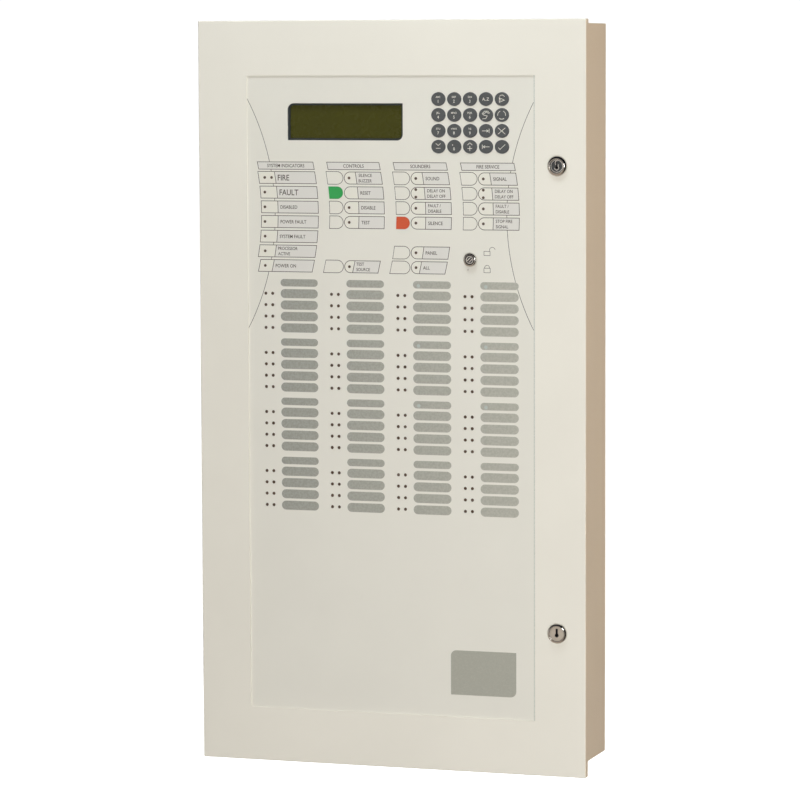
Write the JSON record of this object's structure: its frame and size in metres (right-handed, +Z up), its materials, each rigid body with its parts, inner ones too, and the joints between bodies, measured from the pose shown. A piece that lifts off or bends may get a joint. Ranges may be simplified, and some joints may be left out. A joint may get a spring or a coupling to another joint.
{
  "type": "fire alarm control panel",
  "caption": "Wall-hung fire alarm control panel: shallow steel cabinet with a hinged locking door carrying a display, keypad, function buttons and zone indicators.",
  "frame": {"origin": "centre of the four wall-screw holes, on the flat back face that meets the wall", "axes": "+X to the right seen from the front, +Y into the wall, +Z up; the door faces -Y"},
  "size_m": [0.4625, 0.0932, 0.85],
  "materials": {
    "case_paint": "satin fine-textured powder coat",
    "panel_steel": "zinc-plated sheet",
    "overlay_film": "printed matte polyester overlay",
    "label_film": "translucent grey label window",
    "clear_window": "clear acrylic",
    "lcd_glass": "unlit green display in a dark frame",
    "circuit_board": "solder-masked glass epoxy with parts",
    "led_lens": "dark diffused lamp lens",
    "nylon": "natural nylon",
    "zinc": "zinc plated",
    "lock_chrome": "polished chrome",
    "lock_core_dark": "dark nickel",
    "lock_core_bright": "brushed nickel",
    "brass_fitting": "nickel-free brass",
    "terminal_plastic": "moulded terminal plastic",
    "supply_parts": "open supply with heat sink",
    "battery_case": "moulded ABS case",
    "keypad_rubber": "dark grey silicone key",
    "button_film": "plain light key",
    "button_green": "green key",
    "button_red": "red key"
  },
  "bodies": {
    "box": {"back_box": "case_paint", "box_frame": "case_paint", "hinge_pins": "zinc", "board_standoffs": "brass_fitting", "fixing_screws": "zinc", "main_board": "circuit_board", "terminal_blocks": "terminal_plastic", "power_supply": "supply_parts", "batteries": "battery_case", "battery_clamp": "panel_steel"},
    "door": {"door_shell": "case_paint", "fascia_plate": "panel_steel", "fascia_overlay": "overlay_film", "zone_labels": "label_film", "lcd_window": "clear_window", "lcd_module": "lcd_glass", "display_board": "circuit_board", "indicator_leds": "led_lens", "board_supports": "nylon", "door_nuts": "zinc", "lock_bodies": "lock_chrome", "key_switch_body": "lock_chrome"},
    "upper_lock": {"upper_lock_core": "lock_core_dark"},
    "lower_lock": {"lower_lock_core": "lock_core_bright"},
    "key_switch": {"key_switch_core": "lock_core_dark"},
    "key_0": {"key_0": "keypad_rubber"},
    "key_1": {"key_1": "keypad_rubber"},
    "key_2": {"key_2": "keypad_rubber"},
    "key_3": {"key_3": "keypad_rubber"},
    "key_4": {"key_4": "keypad_rubber"},
    "key_5": {"key_5": "keypad_rubber"},
    "key_6": {"key_6": "keypad_rubber"},
    "key_7": {"key_7": "keypad_rubber"},
    "key_8": {"key_8": "keypad_rubber"},
    "key_9": {"key_9": "keypad_rubber"},
    "key_back": {"key_back": "keypad_rubber"},
    "key_bell": {"key_bell": "keypad_rubber"},
    "key_cancel": {"key_cancel": "keypad_rubber"},
    "key_down": {"key_down": "keypad_rubber"},
    "key_enter": {"key_enter": "keypad_rubber"},
    "key_lamp": {"key_lamp": "keypad_rubber"},
    "key_letters": {"key_letters": "keypad_rubber"},
    "key_reload": {"key_reload": "keypad_rubber"},
    "key_tab": {"key_tab": "keypad_rubber"},
    "key_up": {"key_up": "keypad_rubber"},
    "button_all": {"button_all": "button_film"},
    "button_brigade_delay": {"button_brigade_delay": "button_film"},
    "button_brigade_disable": {"button_brigade_disable": "button_film"},
    "button_disable": {"button_disable": "button_film"},
    "button_panel": {"button_panel": "button_film"},
    "button_reset": {"button_reset": "button_green"},
    "button_signal": {"button_signal": "button_film"},
    "button_silence": {"button_silence": "button_red"},
    "button_silence_buzzer": {"button_silence_buzzer": "button_film"},
    "button_sound": {"button_sound": "button_film"},
    "button_sounder_delay": {"button_sounder_delay": "button_film"},
    "button_sounder_disable": {"button_sounder_disable": "button_film"},
    "button_stop_brigade": {"button_stop_brigade": "button_film"},
    "button_test": {"button_test": "button_film"},
    "button_test_third_source": {"button_test_third_source": "button_film"}
  },
  "joints": [
    {"name": "door_hinge", "type": "hinge", "parent": "box", "child": "door", "pos_m": [-0.229, -0.08, 0], "axis": [0, 0, -1], "range_deg": [0, 120]},
    {"name": "upper_lock_turn", "type": "hinge", "parent": "door", "child": "upper_lock", "pos_m": [0.197, -0.09, 0.256], "axis": [0, -1, 0], "range_deg": [0, 90]},
    {"name": "lower_lock_turn", "type": "hinge", "parent": "door", "child": "lower_lock", "pos_m": [0.197, -0.09, -0.268], "axis": [0, -1, 0], "range_deg": [0, 90]},
    {"name": "key_switch_turn", "type": "hinge", "parent": "door", "child": "key_switch", "pos_m": [0.0953, -0.0885, 0.1504], "axis": [0, 1, 0], "range_deg": [0, 90]},
    {"name": "key_0_press", "type": "slide", "parent": "door", "child": "key_0", "axis": [0, 1, 0], "range_m": [0, 0.0006], "stiffness_N_per_m": 400},
    {"name": "key_1_press", "type": "slide", "parent": "door", "child": "key_1", "axis": [0, 1, 0], "range_m": [0, 0.0006], "stiffness_N_per_m": 400},
    {"name": "key_2_press", "type": "slide", "parent": "door", "child": "key_2", "axis": [0, 1, 0], "range_m": [0, 0.0006], "stiffness_N_per_m": 400},
    {"name": "key_3_press", "type": "slide", "parent": "door", "child": "key_3", "axis": [0, 1, 0], "range_m": [0, 0.0006], "stiffness_N_per_m": 400},
    {"name": "key_4_press", "type": "slide", "parent": "door", "child": "key_4", "axis": [0, 1, 0], "range_m": [0, 0.0006], "stiffness_N_per_m": 400},
    {"name": "key_5_press", "type": "slide", "parent": "door", "child": "key_5", "axis": [0, 1, 0], "range_m": [0, 0.0006], "stiffness_N_per_m": 400},
    {"name": "key_6_press", "type": "slide", "parent": "door", "child": "key_6", "axis": [0, 1, 0], "range_m": [0, 0.0006], "stiffness_N_per_m": 400},
    {"name": "key_7_press", "type": "slide", "parent": "door", "child": "key_7", "axis": [0, 1, 0], "range_m": [0, 0.0006], "stiffness_N_per_m": 400},
    {"name": "key_8_press", "type": "slide", "parent": "door", "child": "key_8", "axis": [0, 1, 0], "range_m": [0, 0.0006], "stiffness_N_per_m": 400},
    {"name": "key_9_press", "type": "slide", "parent": "door", "child": "key_9", "axis": [0, 1, 0], "range_m": [0, 0.0006], "stiffness_N_per_m": 400},
    {"name": "key_back_press", "type": "slide", "parent": "door", "child": "key_back", "axis": [0, 1, 0], "range_m": [0, 0.0006], "stiffness_N_per_m": 400},
    {"name": "key_bell_press", "type": "slide", "parent": "door", "child": "key_bell", "axis": [0, 1, 0], "range_m": [0, 0.0006], "stiffness_N_per_m": 400},
    {"name": "key_cancel_press", "type": "slide", "parent": "door", "child": "key_cancel", "axis": [0, 1, 0], "range_m": [0, 0.0006], "stiffness_N_per_m": 400},
    {"name": "key_down_press", "type": "slide", "parent": "door", "child": "key_down", "axis": [0, 1, 0], "range_m": [0, 0.0006], "stiffness_N_per_m": 400},
    {"name": "key_enter_press", "type": "slide", "parent": "door", "child": "key_enter", "axis": [0, 1, 0], "range_m": [0, 0.0006], "stiffness_N_per_m": 400},
    {"name": "key_lamp_press", "type": "slide", "parent": "door", "child": "key_lamp", "axis": [0, 1, 0], "range_m": [0, 0.0006], "stiffness_N_per_m": 400},
    {"name": "key_letters_press", "type": "slide", "parent": "door", "child": "key_letters", "axis": [0, 1, 0], "range_m": [0, 0.0006], "stiffness_N_per_m": 400},
    {"name": "key_reload_press", "type": "slide", "parent": "door", "child": "key_reload", "axis": [0, 1, 0], "range_m": [0, 0.0006], "stiffness_N_per_m": 400},
    {"name": "key_tab_press", "type": "slide", "parent": "door", "child": "key_tab", "axis": [0, 1, 0], "range_m": [0, 0.0006], "stiffness_N_per_m": 400},
    {"name": "key_up_press", "type": "slide", "parent": "door", "child": "key_up", "axis": [0, 1, 0], "range_m": [0, 0.0006], "stiffness_N_per_m": 400},
    {"name": "button_all_press", "type": "slide", "parent": "door", "child": "button_all", "axis": [0, 1, 0], "range_m": [0, 0.0006], "stiffness_N_per_m": 400},
    {"name": "button_brigade_delay_press", "type": "slide", "parent": "door", "child": "button_brigade_delay", "axis": [0, 1, 0], "range_m": [0, 0.0006], "stiffness_N_per_m": 400},
    {"name": "button_brigade_disable_press", "type": "slide", "parent": "door", "child": "button_brigade_disable", "axis": [0, 1, 0], "range_m": [0, 0.0006], "stiffness_N_per_m": 400},
    {"name": "button_disable_press", "type": "slide", "parent": "door", "child": "button_disable", "axis": [0, 1, 0], "range_m": [0, 0.0006], "stiffness_N_per_m": 400},
    {"name": "button_panel_press", "type": "slide", "parent": "door", "child": "button_panel", "axis": [0, 1, 0], "range_m": [0, 0.0006], "stiffness_N_per_m": 400},
    {"name": "button_reset_press", "type": "slide", "parent": "door", "child": "button_reset", "axis": [0, 1, 0], "range_m": [0, 0.0006], "stiffness_N_per_m": 400},
    {"name": "button_signal_press", "type": "slide", "parent": "door", "child": "button_signal", "axis": [0, 1, 0], "range_m": [0, 0.0006], "stiffness_N_per_m": 400},
    {"name": "button_silence_press", "type": "slide", "parent": "door", "child": "button_silence", "axis": [0, 1, 0], "range_m": [0, 0.0006], "stiffness_N_per_m": 400},
    {"name": "button_silence_buzzer_press", "type": "slide", "parent": "door", "child": "button_silence_buzzer", "axis": [0, 1, 0], "range_m": [0, 0.0006], "stiffness_N_per_m": 400},
    {"name": "button_sound_press", "type": "slide", "parent": "door", "child": "button_sound", "axis": [0, 1, 0], "range_m": [0, 0.0006], "stiffness_N_per_m": 400},
    {"name": "button_sounder_delay_press", "type": "slide", "parent": "door", "child": "button_sounder_delay", "axis": [0, 1, 0], "range_m": [0, 0.0006], "stiffness_N_per_m": 400},
    {"name": "button_sounder_disable_press", "type": "slide", "parent": "door", "child": "button_sounder_disable", "axis": [0, 1, 0], "range_m": [0, 0.0006], "stiffness_N_per_m": 400},
    {"name": "button_stop_brigade_press", "type": "slide", "parent": "door", "child": "button_stop_brigade", "axis": [0, 1, 0], "range_m": [0, 0.0006], "stiffness_N_per_m": 400},
    {"name": "button_test_press", "type": "slide", "parent": "door", "child": "button_test", "axis": [0, 1, 0], "range_m": [0, 0.0006], "stiffness_N_per_m": 400},
    {"name": "button_test_third_source_press", "type": "slide", "parent": "door", "child": "button_test_third_source", "axis": [0, 1, 0], "range_m": [0, 0.0006], "stiffness_N_per_m": 400}
  ]
}
